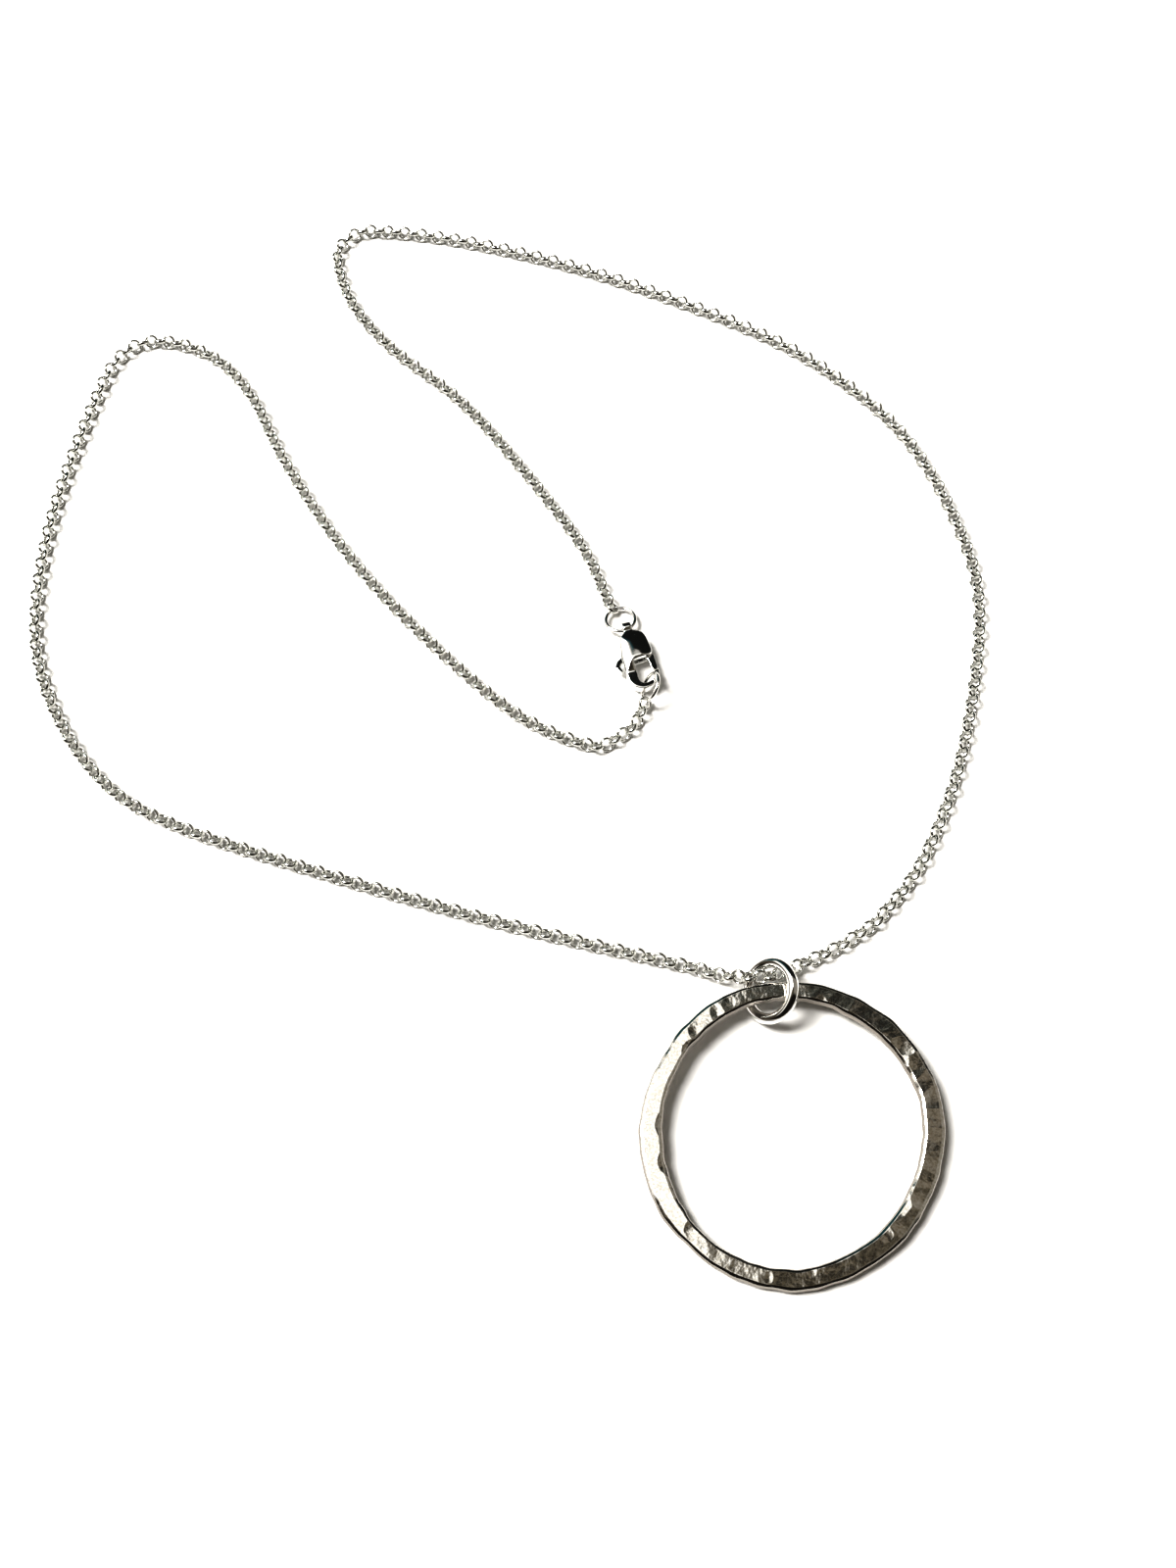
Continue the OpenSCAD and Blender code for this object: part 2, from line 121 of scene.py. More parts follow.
# A blow's roundness across the ring as a share of that along it, how far neighbouring blows
# blend, how much of the changes in thickness the face shows, and the share of the half
# thickness, from its middle up, over which the face's relief grows to its full height
BLOW_LONG = 0.5
BLOW_BLUNT = 0.002
LEVEL_SHARE = 0.25
FACE_EASE = 0.8

# Finer relief of the face, and the uneven outline of its edges: sizes, depths and noise seeds.
# EDGE_TWIST sets the waves of the inner edge a little off from those of the outer one. A seed
# moves its noise by that many times SEED_SHIFT.
DENT_SIZE = 0.7
DENT_DEPTH = 0.006
DENT_SEED = 5.3
STREAK_ALONG = 0.2
STREAK_ACROSS = 0.45
STREAK_DEPTH = 0.0012
STREAK_SEED = 7.7
GRAIN_SIZE = 0.2
GRAIN_DEPTH = 0.0022
GRAIN_SEED = 9.1
EDGE_WAVE = 1.6
EDGE_DEPTH = 0.13
EDGE_TWIST = 0.1
EDGE_SEED = 3.1
SEED_SHIFT = (1.0, 2.7, 1.3)

# The ring's section. Rounds along the face's edges: place across it, depth below the face and
# radius. Under it are a round at each side, and the sides bulge in a round of their own.
EDGE_ROUNDS = ((-0.74, 0.0, 0.1), (-0.88, 0.08, 0.16), (0.7, 0.0, 0.1), (0.87, 0.08, 0.16))
UNDER_AT = 0.63
UNDER_ROUND = 0.42
SIDE_ROUND = 0.4

# Fineness of the ring's mesh. BEND_SHARE gives its bends more columns than their length would.
SECTION_STEPS = 40001
BEND_SHARE = 0.15
FACE_COLUMNS = 52
UNDER_COLUMNS = 14
RING_ROWS = 1400

# Fineness of the round wires
BAIL_STEPS = 160
BAIL_SIDES = 32
JUMP_STEPS = 96
JUMP_SIDES = 20

# Route of the chain's middle line, clasp end first: x, y and rise above where it rests
ROUTE = (
    (9.5, 19.5, 0), (-0.5, 34.5, 0), (-7, 42.5, 0), (-15.5, 50.5, 0), (-21, 58, 0),
    (-23.5, 66, 0), (-21.5, 70, 0), (-17, 70.5, 0), (-5, 68, 0), (12, 62, 0),
    (31, 52.5, 0), (42, 44.5, 0), (51, 34, 0), (56.5, 20.5, 0), (58, 8, 0),
    (54.5, -10, 0), (49, -23.5, 0), (43.5, -30.8, 0), (41, -32.8, 0), (38.5, -34.4, 0),
    (36.3, -35.5, 0.1), (34.6, -36.3, 0.35), (33.2, -37, 0.75), (31.8, -37.7, 1.25),
    (30.4, -38.3, 1.8), (28.9, -38.4, 2.15), (27.2, -38.2, 1.65), (25.5, -37.7, 0.7),
    (23.5, -37, 0.15), (21, -36.2, 0), (1, -31, 0),
    (-20, -24.5, 0), (-38, -18, 0), (-47, -12, 0), (-54, -2, 0), (-57.5, 9, 0),
    (-57.5, 25, 0), (-54, 44, 0), (-51, 51, 0), (-46, 52.5, 0), (-39, 49.5, 0),
    (-33.5, 43, 0), (-28, 32, 0), (-19.5, 18.5, 0), (-9.5, 6.5, 0), (2, -4.5, 0),
    (11, -9, 0), (14.4, -8, 0), (16.3, -6.4, 0.05))

# Separate links: most that their spacing may be, breadth of their wire as a share of its
# thickness, and fineness of their mesh and of the line that they follow
LINK_PITCH = 1.19
LINK_BROAD = 1.6
LINK_STEPS = 26
LINK_SIDES = 10
LINE_STEPS = 60

# Slow drift of the links' roll: most degrees, length of its waves, seed, and the number of
# link lengths over which it grows from each end
ROLL_DRIFT = 7.0
ROLL_DRIFT_LENGTH = 26.0
ROLL_SEED = 4.2
ROLL_EASE = 3

# Clasp castings: remeshing grid, rounds of smoothing, and the share moved in each round
SHELL_GRID = 0.06
SHELL_ROUNDS = 26
GATE_GRID = 0.04
GATE_ROUNDS = 16
SMOOTH_SHARE = 0.5

# Silvers: bright and dull colour, least and most roughness, patches and grains per metre,
# and height of the grain in millimetres
SILVERS = {
    "hammered_silver": (
        (0.96, 0.94, 0.9, 1), (0.7, 0.66, 0.58, 1), 0.03, 0.11, 3500, 8000, 0.0011),
    "polished_silver": (
        (0.95, 0.94, 0.92, 1), (0.88, 0.87, 0.84, 1), 0.03, 0.1, 500, 5000, 0.0005),
    "chain_silver": (
        (0.86, 0.86, 0.83, 1), (0.46, 0.46, 0.42, 1), 0.04, 0.14, 2200, 7000, 0.0008),
    "clasp_silver": (
        (0.92, 0.92, 0.9, 1), (0.86, 0.86, 0.83, 1), 0.03, 0.1, 600, 5000, 0.0006)}

# Noises of every silver, as detail and roughness, and the spans of them that show: its dull
# patches, the rubs that vary its polish, and the grain of its bump
PATCH_NOISE = (4.0, 0.6)
PATCH_SPAN = (0.35, 0.7)
RUB_NOISE = (3.0, 0.6)
RUB_SPAN = (0.3, 0.75)
RUBS_IN_PATCH = 6
GRAIN_NOISE = (3.0, 0.65)

# Upright sides of the hammered ring: span of the normal's rise, colour and roughness. Their darker
# colour is painted shade; their roughness is a duller finish
SIDE_SPAN = (0.65, 0.42)
SIDE_SHADED_SILVER = (0.34, 0.31, 0.275, 1)
SIDE_ROUGH = 0.45

# Pale surface, in metres
FLOOR_REACH = 4.0
FLOOR_WHITE = (0.93, 0.92, 0.9, 1)
FLOOR_ROUGH = 0.7
FLOOR_SHINE = 0.2

# Camera: place and clipping in metres, tilt about x and lean about y in degrees, and sensor
# and lens in millimetres
CAMERA_AT = (0.0183, -0.096, 0.177157)
CAMERA_TILT = 24.9
CAMERA_LEAN = 2.433
SENSOR = 36.0
LENS = 38.4975
CLIP_NEAR = 0.001
CLIP_FAR = 20.0
VIEW_GAMMA = 0.8

# The surround by direction: x is right, y back and z up, each from -1 to 1. The first number of
# a span is where something starts to show, and the second where it shows in full.

# Window at the left. Its near and far spans are in bearing, y for each step to the left, and
# no step is taken as less than LEAST_LEFT.
WINDOW_NEAR = (-0.35, -0.15)
WINDOW_FAR = (1.1, 0.75)
WINDOW_SILL = (0.3, 0.4)
WINDOW_TOP = (0.98, 0.95)
WINDOW_LEFT = (0.05, 0.15)
WINDOW_LIGHT = 1.35
WARM_LIGHT = (1.0, 0.97, 0.92, 1)
LEAST_LEFT = 0.02

# Glare high in the window
GLARE_NEAR = (-0.1, 0.1)
GLARE_FAR = (0.75, 0.6)
GLARE_LOW = (0.72, 0.78)
GLARE_TOP = (0.975, 0.94)
GLARE_LIGHT = 42.0
DAYLIGHT = (1.0, 0.99, 0.975, 1)

# Ceiling, lit up to its edge and dim just past it
CEILING_NEAR = (-0.08, 0.0)
CEILING_FAR = (0.42, 0.35)
CEILING_LOW = (0.75, 0.88)
CEILING_EDGE = (0.066, 0.042)
CEILING_LIGHT = 1.3
CEILING_WHITE = (1.0, 0.985, 0.95, 1)
DIM_EDGE = (0.1, 0.08)
ROOM_DIM = (0.24, 0.22, 0.185, 1)

# Mottled brown room, with a warmer spot beside the ceiling
ROOM_PATCHES = 13.0
ROOM_NOISE = (5.0, 0.75)
ROOM_SPAN = (0.42, 0.6)
ROOM_DARK = (0.02, 0.017, 0.012, 1)
ROOM_BROWN = (0.2, 0.172, 0.125, 1)
ROOM_WARM = (0.27, 0.235, 0.185, 1)
LAMP_LEFT = (0.11, 0.15)
LAMP_NEAR = (0.07, 0.13)
LAMP_FAR = (0.22, 0.17)
LAMP_LOW = (0.8, 0.9)

# Walls that cover the room, and their colours
LOW_WALL = (0.75, 0.45)
ROOM_LOW = (0.07, 0.058, 0.043, 1)
FAR_WALL = (0.165, 0.23)
ROOM_BLACK = (0.012, 0.013, 0.012, 1)
ROOM_GREEN = (0.13, 0.135, 0.115, 1)
RIGHT_WALL = (0.17, 0.27)
GREY_WALL = (0.25, 0.29)
ROOM_RIGHT = (0.31, 0.288, 0.25, 1)
BLACK_WALL = (0.37, 0.45)
TEAL_SPAN = (5.0, 0.9)
ROOM_TEAL = (0.02, 0.075, 0.085, 1)
NEAR_WALL = (-0.22, -0.4)
ROOM_NEAR = (0.012, 0.01, 0.008, 1)
HORIZON = (0.13, 0.07)
ROOM_PALE = (0.4, 0.37, 0.33, 1)


# Angles and frames


def cosine(degrees):
    return math.cos(math.radians(degrees))


def sine(degrees):
    return math.sin(math.radians(degrees))


def turn(degrees, axis):
    return Matrix.Rotation(math.radians(degrees), 4, axis)


def heading(direction, pitch):
    """Unit vector from its direction about z and its pitch."""
    flat = cosine(pitch)
    return Vector((cosine(direction) * flat, sine(direction) * flat, sine(pitch)))


def clasp_point(place):
    """Point on the surface of a place in the clasp's own frame."""
    x, y = place
    return (CLASP_AT[0] + cosine(CLASP_TURN) * x - sine(CLASP_TURN) * y,
            CLASP_AT[1] + sine(CLASP_TURN) * x + cosine(CLASP_TURN) * y)


def leaning(at, radius, low, lean, direction):
    """Frame of a ring that leans, with its low side's wire at height low."""
    place = Matrix.Translation((at[0], at[1], low + radius * sine(lean)))
    return place @ turn(direction, "Z") @ turn(-lean, "Y")


def moved(points, matrix):
    """Points of an array, moved by a matrix."""
    m = np.array(matrix)
    return points @ m[:3, :3].T + m[:3, 3]


# Meshes


def add_piece(name, points, faces, material, slot, body, *nodes):
    """Smooth mesh from points in millimetres, which stands for the CAD nodes named."""
    mesh = bpy.data.meshes.new(name)
    mesh.from_pydata((np.asarray(points) * MM).tolist(), [], faces)
    finish_piece(name, mesh, material, slot, body, *nodes)


def finish_piece(name, mesh, material, slot, body, *nodes):
    """Turns a finished mesh into a piece that rides on its body and stands for the CAD nodes."""
    mesh.materials.clear()
    mesh.materials.append(material)
    mesh.shade_smooth()
    piece = bpy.data.objects.new(name, mesh)
    bpy.context.scene.collection.objects.link(piece)
    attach(piece, body)
    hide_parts(*nodes)


def grid_faces(rows, columns, closed):
    """Quads of a grid whose columns close on themselves, and its rows too if closed."""
    last = rows if closed else rows - 1
    return [(i * columns + k, i * columns + (k + 1) % columns,
             (i + 1) % rows * columns + (k + 1) % columns, (i + 1) % rows * columns + k)
            for i in range(last) for k in range(columns)]


def torus_points(radius, wire, angles, sides, broad=1.0):
    """Rings of points round a bent wire, one for each angle in degrees.

    broad is the wire's breadth across the bend as a share of its thickness."""
    a = np.radians(angles)[:, None]
    b = np.arange(sides)[None, :] * 2 * math.pi / sides
    reach = radius + wire / 2 * np.cos(b)
    height = broad * wire / 2 * np.sin(b) + 0 * a
    return np.stack([reach * np.cos(a), reach * np.sin(a), height], -1).reshape(-1, 3)


# Nodes


def link(tree, source, target):
    tree.links.new(source, target)


def fill(tree, sockets, values):
    """Sets each socket to its value, or links it where the value is a socket too."""
    for socket, value in zip(sockets, values):
        if isinstance(value, (int, float, tuple)):
            socket.default_value = value
        else:
            link(tree, value, socket)


def math_node(tree, operation, first, second):
    node = tree.nodes.new("ShaderNodeMath")
    node.operation = operation
    fill(tree, node.inputs, (first, second))
    return node.outputs[0]


def smooth_step(tree, value, low, high, start=0.0, stop=1.0):
    """Value eased from start to stop while it goes from low to high."""
    node = tree.nodes.new("ShaderNodeMapRange")
    node.interpolation_type = "SMOOTHSTEP"
    link(tree, value, node.inputs["Value"])
    node.inputs["From Min"].default_value = low
    node.inputs["From Max"].default_value = high
    node.inputs["To Min"].default_value = start
    node.inputs["To Max"].default_value = stop
    return node.outputs["Result"]


def masked(tree, *spans):
    """Product of smooth steps, each given as a value and the span over which it rises."""
    product = smooth_step(tree, *spans[0])
    for span in spans[1:]:
        product = math_node(tree, "MULTIPLY", product, smooth_step(tree, *span))
    return product


def mixed(tree, kind, factor, first, second):
    """Mix of two values, or of two colours where kind is RGBA."""
    node = tree.nodes.new("ShaderNodeMix")
    node.data_type = kind
    link(tree, factor, node.inputs["Factor"])
    fill(tree, (node.inputs["A"], node.inputs["B"]), (first, second))
    return node.outputs["Result"]


def mix_colours(tree, factor, first, second):
    return mixed(tree, "RGBA", factor, first, second)


def noise_node(tree, vector, scale, detail, rough):
    node = tree.nodes.new("ShaderNodeTexNoise")
    link(tree, vector, node.inputs["Vector"])
    node.inputs["Scale"].default_value = scale
    node.inputs["Detail"].default_value = detail
    node.inputs["Roughness"].default_value = rough
    return node.outputs["Fac"]


def background(tree, colour, strength):
    """Light of the surround, its colour and strength numbers or sockets."""
    node = tree.nodes.new("ShaderNodeBackground")
    fill(tree, node.inputs, (colour, strength))
    return node.outputs[0]


def mix_shaders(tree, factor, first, second):
    node = tree.nodes.new("ShaderNodeMixShader")
    link(tree, factor, node.inputs["Fac"])
    link(tree, first, node.inputs[1])
    link(tree, second, node.inputs[2])
    return node.outputs[0]


# World and stage


def room_colour(tree, place, ways, bearing, dim_ceiling):
    """Colour of the dim room: mottled brown, covered by its dim ceiling and its walls in turn."""
    x, y, z = ways
    spots = smooth_step(tree, noise_node(tree, place, ROOM_PATCHES, *ROOM_NOISE), *ROOM_SPAN)
    lamp = masked(tree, (x, *LAMP_LEFT), (y, *LAMP_NEAR), (y, *LAMP_FAR), (z, *LAMP_LOW))
    room = mix_colours(tree, spots, ROOM_DARK, mix_colours(tree, lamp, ROOM_BROWN, ROOM_WARM))
    room = mix_colours(tree, dim_ceiling, room, ROOM_DIM)
    far = mix_colours(tree, spots, ROOM_BLACK, ROOM_GREEN)
    black = mix_colours(tree, smooth_step(tree, bearing, *TEAL_SPAN), ROOM_BLACK, ROOM_TEAL)
    walls = (
        (z, LOW_WALL, ROOM_LOW), (y, FAR_WALL, far), (x, RIGHT_WALL, ROOM_RIGHT),
        (y, GREY_WALL, ROOM_RIGHT), (y, BLACK_WALL, black), (y, NEAR_WALL, ROOM_NEAR),
        (z, HORIZON, ROOM_PALE))
    for way, span, colour in walls:
        room = mix_colours(tree, smooth_step(tree, way, *span), room, colour)
    return room


def window_light(tree, bearing, z):
    """Light of the window, with the glare in it."""
    glare = masked(tree, (bearing, *GLARE_NEAR), (bearing, *GLARE_FAR), (z, *GLARE_LOW),
                   (z, *GLARE_TOP))
    power = smooth_step(tree, glare, 0.0, 1.0, start=WINDOW_LIGHT, stop=GLARE_LIGHT)
    return background(tree, mix_colours(tree, glare, WARM_LIGHT, DAYLIGHT), power)


def make_world():
    """Bright window at the left, the lit ceiling beside it, and a dim mottled room round the rest."""
    world = bpy.data.worlds.new("room")
    bpy.context.scene.world = world
    world.use_nodes = True
    tree = world.node_tree
    tree.nodes.clear()
    place = tree.nodes.new("ShaderNodeTexCoord").outputs["Generated"]
    split = tree.nodes.new("ShaderNodeSeparateXYZ")
    link(tree, place, split.inputs[0])
    x, y, z = split.outputs
    left = math_node(tree, "MAXIMUM", math_node(tree, "MULTIPLY", x, -1.0), LEAST_LEFT)
    bearing = math_node(tree, "DIVIDE", y, left)
    window = masked(tree, (bearing, *WINDOW_NEAR), (bearing, *WINDOW_FAR), (z, *WINDOW_SILL),
                    (z, *WINDOW_TOP), (left, *WINDOW_LEFT))
    above = masked(tree, (y, *CEILING_NEAR), (y, *CEILING_FAR), (z, *CEILING_LOW))
    ceiling = masked(tree, (x, *CEILING_EDGE), (above, 0.0, 1.0))
    dim_ceiling = masked(tree, (x, *DIM_EDGE), (above, 0.0, 1.0))

    room_light = background(tree, room_colour(tree, place, (x, y, z), bearing, dim_ceiling), 1.0)
    ceiling_light = background(tree, CEILING_WHITE, CEILING_LIGHT)
    lit = mix_shaders(tree, ceiling, room_light, ceiling_light)
    lit = mix_shaders(tree, window, lit, window_light(tree, bearing, z))
    output = tree.nodes.new("ShaderNodeOutputWorld")
    link(tree, lit, output.inputs["Surface"])


def make_floor():
    """Wide pale surface that the necklace lies on."""
    mesh = bpy.data.meshes.new("floor")
    corners = [(-FLOOR_REACH, -FLOOR_REACH, 0), (FLOOR_REACH, -FLOOR_REACH, 0),
               (FLOOR_REACH, FLOOR_REACH, 0), (-FLOOR_REACH, FLOOR_REACH, 0)]
    mesh.from_pydata(corners, [], [(0, 1, 2, 3)])
    floor = bpy.data.objects.new("floor", mesh)
    bpy.context.scene.collection.objects.link(floor)
    material = bpy.data.materials.new("pale_surface")
    material.use_nodes = True
    shader = material.node_tree.nodes["Principled BSDF"]
    shader.inputs["Base Color"].default_value = FLOOR_WHITE
    shader.inputs["Roughness"].default_value = FLOOR_ROUGH
    shader.inputs["Specular IOR Level"].default_value = FLOOR_SHINE
    mesh.materials.append(material)


def make_camera():
    """Camera at the photograph's place and angle, and the tone of the view."""
    data = bpy.data.cameras.new("camera")
    data.sensor_width = SENSOR
    data.lens = LENS
    data.clip_start = CLIP_NEAR
    data.clip_end = CLIP_FAR
    camera = bpy.data.objects.new("camera", data)
    camera.location = CAMERA_AT
    camera.rotation_euler = (math.radians(CAMERA_TILT), math.radians(CAMERA_LEAN), 0)
    bpy.context.scene.collection.objects.link(camera)
    bpy.context.scene.camera = camera
    bpy.context.scene.view_settings.view_transform = "Standard"
    bpy.context.scene.view_settings.gamma = VIEW_GAMMA


# Materials


def silver(name):
    """Polished silver with dull patches, and a fine grain that breaks up its reflections."""
    bright, dull, least, most, patch_scale, grain_scale, grain_height = SILVERS[name]
    material = bpy.data.materials.new(name)
    material.use_nodes = True
    tree = material.node_tree
    shader = tree.nodes["Principled BSDF"]
    shader.inputs["Metallic"].default_value = 1.0
    place = tree.nodes.new("ShaderNodeTexCoord").outputs["Object"]
    patches = noise_node(tree, place, patch_scale, *PATCH_NOISE)
    worn = smooth_step(tree, patches, *PATCH_SPAN)
    link(tree, mix_colours(tree, worn, bright, dull), shader.inputs["Base Color"])
    rubs = noise_node(tree, place, patch_scale * RUBS_IN_PATCH, *RUB_NOISE)
    rough = smooth_step(tree, rubs, *RUB_SPAN, start=least, stop=most)
    link(tree, rough, shader.inputs["Roughness"])
    grain = noise_node(tree, place, grain_scale, *GRAIN_NOISE)
    bump = tree.nodes.new("ShaderNodeBump")
    bump.inputs["Strength"].default_value = 1.0
    bump.inputs["Distance"].default_value = grain_height * MM
    link(tree, grain, bump.inputs["Height"])
    link(tree, bump.outputs["Normal"], shader.inputs["Normal"])
    return material


def dull_and_shaded_sides(material):
    """Makes the upright sides of a silver piece rougher than its face, and darker with painted shade.
    """
    tree = material.node_tree
    shader = tree.nodes["Principled BSDF"]
    normal = tree.nodes.new("ShaderNodeSeparateXYZ")
    link(tree, tree.nodes.new("ShaderNodeNewGeometry").outputs["Normal"], normal.inputs[0])
    side = smooth_step(tree, normal.outputs[2], *SIDE_SPAN)
    # The sides' darker colour is painted shade, not the metal's own; their roughness is a duller
    # finish
    looks = (("Base Color", "RGBA", SIDE_SHADED_SILVER), ("Roughness", "FLOAT", SIDE_ROUGH))
    for name, kind, value in looks:
        socket = shader.inputs[name]
        face = socket.links[0].from_socket
        link(tree, mixed(tree, kind, side, face, value), socket)


# Pendant


def hammered(column, angles):
    """One column of the hammered form at each angle, eased between its rows."""
    values = np.array([row[column] for row in HAMMER])
    u = angles / 360 * len(HAMMER)
    i = np.floor(u).astype(int)
    s = (1 - np.cos(np.pi * (u - i))) / 2
    return values[i % len(HAMMER)] * (1 - s) + values[(i + 1) % len(HAMMER)] * s


def ring_section():
    """Steps round the ring's section, as shares of its half width and half thickness.

    The section is the hull of its rounds: one at each side, two at each edge of the face and
    one at each edge of the underside."""
    half_w = RING_W / 2
    half_t = RING_T / 2
    rounds = [(way * (half_w - SIDE_ROUND), 0, SIDE_ROUND) for way in (-1, 1)]
    rounds += [(x, half_t - depth - r, r) for x, depth, r in EDGE_ROUNDS]
    rounds += [(way * UNDER_AT, UNDER_ROUND - half_t, UNDER_ROUND) for way in (-1, 1)]
    b = np.linspace(0, 2 * np.pi, SECTION_STEPS)
    reach = [x * np.cos(b) + z * np.sin(b) + r for x, z, r in rounds]
    x, z, r = np.array(rounds)[np.argmax(reach, axis=0)].T
    x = x + r * np.cos(b)
    z = z + r * np.sin(b)
    run = np.hypot(np.diff(x), np.diff(z)) + BEND_SHARE * np.diff(b)
    length = np.concatenate([[0], np.cumsum(run)])
    half = length[len(b) // 2]
    above = np.linspace(0, half, FACE_COLUMNS, endpoint=False)
    below = np.linspace(half, length[-1], UNDER_COLUMNS, endpoint=False)
    at = np.concatenate([above, below])
    return np.interp(at, length, x) / half_w, np.interp(at, length, z) / half_t


def noise_at(points, seed):
    """Smooth noise from -1 to 1 at each row of an array of points."""
    shift = Vector([seed * share for share in SEED_SHIFT])
    return np.array([noise.noise(Vector(p) + shift) for p in points.tolist()])


def blow_height(angles, across):
    """Height of the face under the hammer's blows, at each point that of the lowest blow."""
    heights = []
    for at, place, lean_along, lean_out, roundness in BLOWS:
        gap = (angles - at + 180) % 360 - 180
        along = np.radians(gap) * RING_MID_R
        out = across - place * RING_W / 2
        heights.append(roundness * (along ** 2 + BLOW_LONG * out ** 2)
                       - along * math.tan(math.radians(lean_along))
                       - out * math.tan(math.radians(lean_out)))
    stack = np.stack(heights)
    lowest = stack.min(0)
    blunt = -BLOW_BLUNT * np.log(np.exp((lowest - stack) / BLOW_BLUNT).sum(0))
    return lowest + blunt


def face_height(angles, across, px, py):
    """Height of the face with its blows, dents, streaks and grain."""
    around = np.radians(angles) * RING_MID_R
    dents = np.stack([px, py, 0 * px], -1) / DENT_SIZE
    streaks = np.stack([around / STREAK_ALONG, across / STREAK_ACROSS, 0 * across], -1)
    height = blow_height(angles, across)
    height = height + DENT_DEPTH * noise_at(dents, DENT_SEED)
    height = height + STREAK_DEPTH * noise_at(streaks, STREAK_SEED)
    return height + GRAIN_DEPTH * noise_at(dents * DENT_SIZE / GRAIN_SIZE, GRAIN_SEED)


def lifted(px, py, z):
    """Points of the ring raised at one side, hung in the bail and lowest at the surface."""
    tilt = math.asin(RING_LIFT / (2 * RING_MID_R))
    along = px * cosine(LIFT_ANGLE) + py * sine(LIFT_ANGLE)
    across = py * cosine(LIFT_ANGLE) - px * sine(LIFT_ANGLE)
    reach = along * math.cos(tilt) - z * math.sin(tilt)
    centre = RING_MID_R + HANG_OUT
    points = np.stack([
        reach * cosine(LIFT_ANGLE) - across * sine(LIFT_ANGLE)
        + BAIL_AT[0] - centre * cosine(HANG_ANGLE),
        reach * sine(LIFT_ANGLE) + across * cosine(LIFT_ANGLE)
        + BAIL_AT[1] - centre * sine(HANG_ANGLE),
        along * math.sin(tilt) + z * math.cos(tilt)], -1)
    points[:, 2] -= points[:, 2].min()
    return points


def make_pendant(material):
    """Hammered ring, its section swept round and shaped by the tables."""
    x_share, z_share = ring_section()
    columns = len(x_share)
    a = np.repeat(np.arange(RING_ROWS) * 360 / RING_ROWS, columns)
    x_share = np.tile(x_share, RING_ROWS)
    z_share = np.tile(z_share, RING_ROWS)
    cos_a = np.cos(np.radians(a))
    sin_a = np.sin(np.radians(a))
    width = RING_W * hammered(WIDTH, a)
    thick = RING_T * (1 + LEVEL_SHARE * (hammered(THICKNESS, a) - 1))
    x = width / 2 * x_share
    edge = np.stack([cos_a, sin_a, x_share * EDGE_TWIST], -1) * RING_MID_R / EDGE_WAVE
    r = RING_D / 2 * hammered(RADIUS, a) - width / 2 + x
    r = r + EDGE_DEPTH * noise_at(edge, EDGE_SEED) * x_share
    px = r * cos_a
    py = r * sin_a
    face = np.clip(z_share / FACE_EASE, 0, 1)
    face = face * face * (3 - 2 * face)
    z = thick / 2 * (1 + z_share) + face * face_height(a, x, px, py)
    add_piece("hammered_ring", lifted(px, py, z), grid_faces(RING_ROWS, columns, True), material,
              "hammered_silver", "necklace", "pendant_ring")


# Round wires


def make_bail(material):
    """Heavy jump ring that carries the pendant, its ends parted by a fine saw cut."""
    radius = (BAIL_D - BAIL_WIRE) / 2
    half_cut = math.degrees(BAIL_CUT / 2 / radius)
    angles = np.linspace(BAIL_CUT_ANGLE + half_cut, BAIL_CUT_ANGLE + 360 - half_cut, BAIL_STEPS)
    points = torus_points(radius, BAIL_WIRE, angles, BAIL_SIDES)
    faces = grid_faces(BAIL_STEPS, BAIL_SIDES, False)
    faces.append(tuple(range(BAIL_SIDES - 1, -1, -1)))
    faces.append(tuple(range((BAIL_STEPS - 1) * BAIL_SIDES, BAIL_STEPS * BAIL_SIDES)))
    place = leaning(BAIL_AT, radius, BAIL_WIRE / 2, BAIL_LEAN, BAIL_TURN)
    add_piece("bail_ring", moved(points, place), faces, material, "polished_silver",
              "necklace", "bail")


def make_jump_ring(name, at, low, lean, direction, material, node):
    """Small closed ring that leans, with its low side's wire at height low."""
    angles = np.arange(JUMP_STEPS) * 360 / JUMP_STEPS
    points = torus_points(JUMP_R, JUMP_WIRE, angles, JUMP_SIDES)
    place = leaning(at, JUMP_R, low, lean, direction)
    add_piece(name, moved(points, place), grid_faces(JUMP_STEPS, JUMP_SIDES, True), material,
              "polished_silver", "necklace", node)


# Chain


def end_links():
    """Centres of the two end links, and their directions away from the jump rings."""
    right = heading(RIGHT_LINK_DIR, 0)
    left = heading(LEFT_LINK_DIR, LEFT_LINK_PITCH)
    x, y = clasp_point(CLASP_RING_AT)
    right_at = Vector((x, y, CHAIN_W / 2)) + (JUMP_R + LINK_OUT) * right
    place = leaning(clasp_point(CATCH_RING_AT), JUMP_R, JUMP_WIRE / 2, CATCH_RING_LEAN,
                    CLASP_TURN + CATCH_RING_TURN)
    seat = Vector((JUMP_R * cosine(LEFT_LINK_SEAT), JUMP_R * sine(LEFT_LINK_SEAT), 0))
    left_at = place @ seat + LINK_OUT * left
    return right_at, right, left_at, left


def spline(points, per_span):
    """Smooth curve through the points, with mirrored points beyond its ends."""
    p = np.vstack([2 * points[0] - points[1], points, 2 * points[-1] - points[-2]])
    s = np.arange(per_span)[:, None] / per_span
    spans = []
    for a, b, c, d in zip(p, p[1:], p[2:], p[3:]):
        spans.append(0.5 * (2 * b + (c - a) * s + (2 * a - 5 * b + 4 * c - d) * s ** 2
                            + (3 * b - a - 3 * c + d) * s ** 3))
    return np.vstack(spans + [points[-1:]])


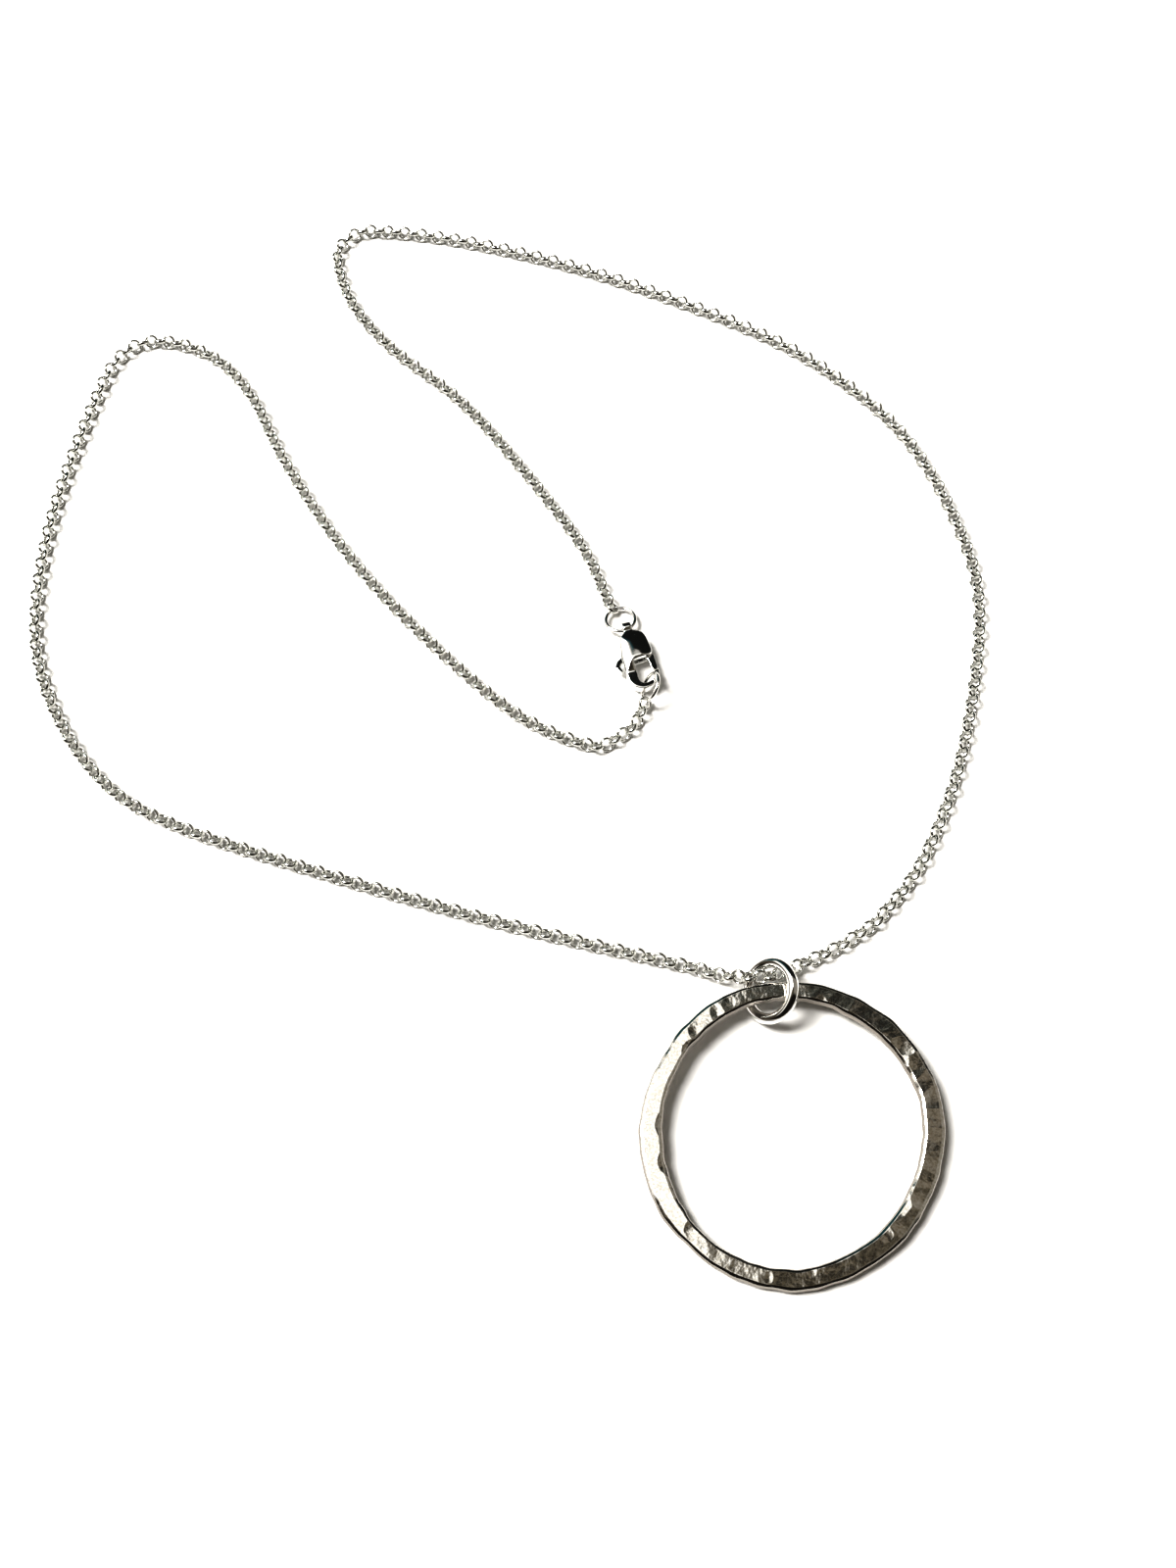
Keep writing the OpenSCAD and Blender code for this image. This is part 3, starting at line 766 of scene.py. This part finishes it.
def chain_line():
    """Dense points of the chain's middle line from one end link's centre to the other's."""
    right_at, right, left_at, left = end_links()
    step = LINK_D / 2 + NEAR_GAP
    route = [(x, y, CHAIN_W / 2 + rise) for x, y, rise in ROUTE]
    start = right_at + step * right
    stop = left_at + step * left
    line = spline(np.array([tuple(start)] + route + [tuple(stop)]), LINE_STEPS)
    line[:, 2] = np.maximum(line[:, 2], CHAIN_W / 2)
    return np.vstack([np.array(right_at), line, np.array(left_at)])


def link_rolls(at, length):
    """Roll of every link about the chain in radians, left and right in turn with a slow drift."""
    waves = [noise.noise(Vector((s / ROLL_DRIFT_LENGTH, ROLL_SEED, 0))) for s in at]
    drift = ROLL_DRIFT * np.array(waves)
    drift *= np.clip(np.minimum(at, length - at) / LINK_D / ROLL_EASE, 0, 1)
    return np.radians(np.where(np.arange(len(at)) % 2, -LINK_ROLL, LINK_ROLL) + drift)


def link_frames():
    """Place and directions of every link, the two end links included."""
    line = chain_line()
    run = np.concatenate([[0], np.cumsum(np.linalg.norm(np.diff(line, axis=0), axis=1))])
    pairs = math.ceil(run[-1] / LINK_PITCH / 2)
    at = np.linspace(0, run[-1], 2 * pairs + 1)

    def place(s):
        return np.stack([np.interp(s, run, line[:, k]) for k in range(3)], -1)

    centres = place(at)
    reach = LINK_R / 2
    along = place(np.minimum(at + reach, run[-1])) - place(np.maximum(at - reach, 0))
    along /= np.linalg.norm(along, axis=1)[:, None]
    side = np.cross((0, 0, 1), along)
    side /= np.linalg.norm(side, axis=1)[:, None]
    up = np.cross(along, side)
    roll = link_rolls(at, run[-1])
    across = np.cos(roll)[:, None] * side + np.sin(roll)[:, None] * up
    upright = np.hypot(along[:, 2], across[:, 2])
    flat = np.sqrt(1 - upright ** 2)
    drop = LINK_R * upright + LINK_WIRE / 2 * np.hypot(upright, LINK_BROAD * flat)
    centres[:, 2] = np.maximum(centres[:, 2], drop)
    return centres, along, across


def chain_piece(name, first, last, frames, material, *nodes):
    """Joined mesh of the links from first to last."""
    centres, along, across = frames
    angles = np.arange(LINK_STEPS) * 360 / LINK_STEPS
    ring = torus_points(LINK_R, LINK_WIRE, angles, LINK_SIDES, LINK_BROAD)
    ring_faces = np.array(grid_faces(LINK_STEPS, LINK_SIDES, True))
    points = []
    faces = []
    for n in range(first, last + 1):
        axes = np.stack([along[n], across[n], np.cross(along[n], across[n])])
        points.append(centres[n] + ring @ axes)
        faces.append(ring_faces + (n - first) * len(ring))
    add_piece(name, np.vstack(points), np.vstack(faces).tolist(), material, "chain_silver",
              "necklace", *nodes)


def make_chain(material):
    """Both halves of the chain, which meet at the link nearest the bail."""
    frames = link_frames()
    centres = frames[0]
    to_bail = np.hypot(centres[:, 0] - BAIL_AT[0], centres[:, 1] - BAIL_AT[1])
    meet = int(to_bail.argmin())
    chain_piece("chain_links_right", 0, meet, frames, material,
                "chain_right", "end_link_right")
    chain_piece("chain_links_left", meet + 1, len(centres) - 1, frames, material,
                "chain_left", "end_link_left")


# Clasp


def make_casting(name, nodes, grid, rounds, material, body):
    """Joined copy of CAD nodes with the soft edges of a polished casting.

    The copy is worked on a thousand times larger, with its grid in millimetres."""
    joined = bmesh.new()
    for node in nodes:
        joined.from_mesh(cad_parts[node].data)
    mesh = bpy.data.meshes.new(name + "_rough")
    joined.to_mesh(mesh)
    joined.free()
    mesh.transform(Matrix.Scale(1 / MM, 4))
    rough = bpy.data.objects.new(name + "_rough", mesh)
    bpy.context.scene.collection.objects.link(rough)
    remesh = rough.modifiers.new("remesh", "REMESH")
    remesh.mode = "VOXEL"
    remesh.voxel_size = grid
    smooth = rough.modifiers.new("smooth", "SMOOTH")
    smooth.factor = SMOOTH_SHARE
    smooth.iterations = rounds
    shown = rough.evaluated_get(bpy.context.evaluated_depsgraph_get())
    cast = bpy.data.meshes.new_from_object(shown)
    bpy.data.objects.remove(rough)
    bpy.data.meshes.remove(mesh)
    cast.transform(Matrix.Scale(MM, 4))
    finish_piece(name, cast, material, "clasp_silver", body, *nodes)


# Whole necklace


def make_necklace():
    """All pieces with their silvers."""
    ring_silver = silver("hammered_silver")
    # Painted shade darkens the ring's upright sides, which are also made rougher
    dull_and_shaded_sides(ring_silver)
    polished = silver("polished_silver")
    linked = silver("chain_silver")
    cast = silver("clasp_silver")
    make_pendant(ring_silver)
    make_bail(polished)
    make_jump_ring("clasp_end_ring", clasp_point(CLASP_RING_AT), CHAIN_W / 2,
                   CLASP_RING_LEAN, CLASP_TURN - 90, polished, "clasp_ring")
    make_jump_ring("catch_end_ring", clasp_point(CATCH_RING_AT), JUMP_WIRE / 2,
                   CATCH_RING_LEAN, CLASP_TURN + CATCH_RING_TURN, polished, "catch_ring")
    make_chain(linked)
    make_casting("clasp_shell", ("clasp_body", "clasp_pin"), SHELL_GRID, SHELL_ROUNDS, cast,
                 "necklace")
    make_casting("clasp_gate", ("clasp_lever",), GATE_GRID, GATE_ROUNDS, cast, "lever")


make_world()
make_floor()
make_camera()
make_necklace()
